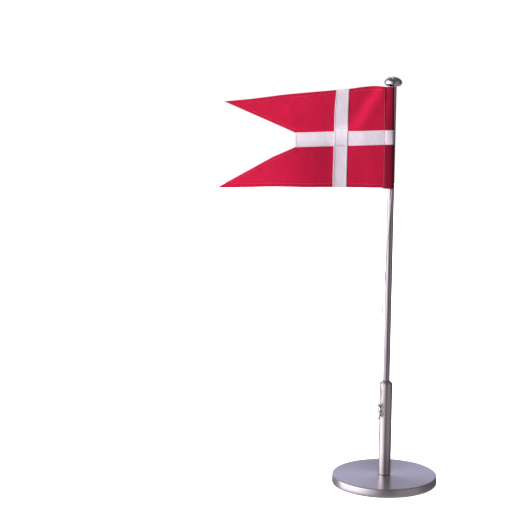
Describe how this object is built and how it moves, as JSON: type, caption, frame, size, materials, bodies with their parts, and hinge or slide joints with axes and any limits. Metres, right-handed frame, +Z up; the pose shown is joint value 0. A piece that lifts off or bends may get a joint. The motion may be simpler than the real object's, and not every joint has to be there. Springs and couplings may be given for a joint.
{
  "type": "desk flag stand",
  "caption": "Table flagpole: weighted round steel foot, post with halyard cleat, mast that unscrews, domed truck, and a swallow-tailed cross flag hung by its sleeve.",
  "frame": {"origin": "centre of the foot's underside, on the mast's axis", "axes": "+Z up along the mast; the flag flies towards -X; -Y is the side the cleat and the flag's face are on"},
  "size_m": [0.2091, 0.1, 0.3906],
  "materials": {
    "satin_steel": "satin stainless steel, turned",
    "bright_steel": "polished stainless steel",
    "grey_iron": "bare cast iron",
    "zinc": "zinc plated",
    "black_foam": "foam rubber",
    "white_cord": "twisted polyester thread",
    "red_cloth": "woven polyester, red",
    "white_cloth": "woven polyester, white"
  },
  "bodies": {
    "foot": {"base_cover": "satin_steel", "ballast_disc": "grey_iron", "base_pad": "black_foam", "lock_washer": "zinc", "post_screw": "zinc", "post": "satin_steel", "cleat": "bright_steel", "halyard_hitch_left": "white_cord", "halyard_hitch_front": "white_cord"},
    "stud": {"pole_stud": "bright_steel"},
    "mast": {"pole_tube": "bright_steel", "truck": "bright_steel", "halyard_loop": "white_cord"},
    "flag_line": {"stopper_knot_upper": "white_cord", "stopper_knot_lower": "white_cord"},
    "flag": {"red_hoist_upper": "red_cloth", "red_hoist_lower": "red_cloth", "white_fly_band": "white_cloth", "white_upright_upper": "white_cloth", "white_upright_lower": "white_cloth", "red_fly_upper": "red_cloth", "red_fly_lower": "red_cloth"}
  },
  "joints": [
    {"name": "mast_rise", "type": "slide", "parent": "foot", "child": "stud", "axis": [0, 0, 1], "range_m": [0, 0.01201]},
    {"name": "mast_turn", "type": "hinge", "parent": "stud", "child": "mast", "pos_m": [0, 0, 0], "axis": [0, 0, 1], "range_deg": [0, 4320]},
    {"name": "flag_lower", "type": "slide", "parent": "mast", "child": "flag_line", "axis": [-0.0206, -0.0072, -0.9998], "range_m": [0, 0.16], "deforming": ["halyard_loop"]},
    {"name": "flag_swing", "type": "hinge", "parent": "flag_line", "child": "flag", "pos_m": [0.00003, -0.00575, 0.334], "axis": [-0.0166, 0, 0.9999], "range_deg": [-10, 190]}
  ],
  "couplings": [
    {"joint": "mast_rise", "follows": "mast_turn", "m_per_rad": 0.00015915}
  ]
}
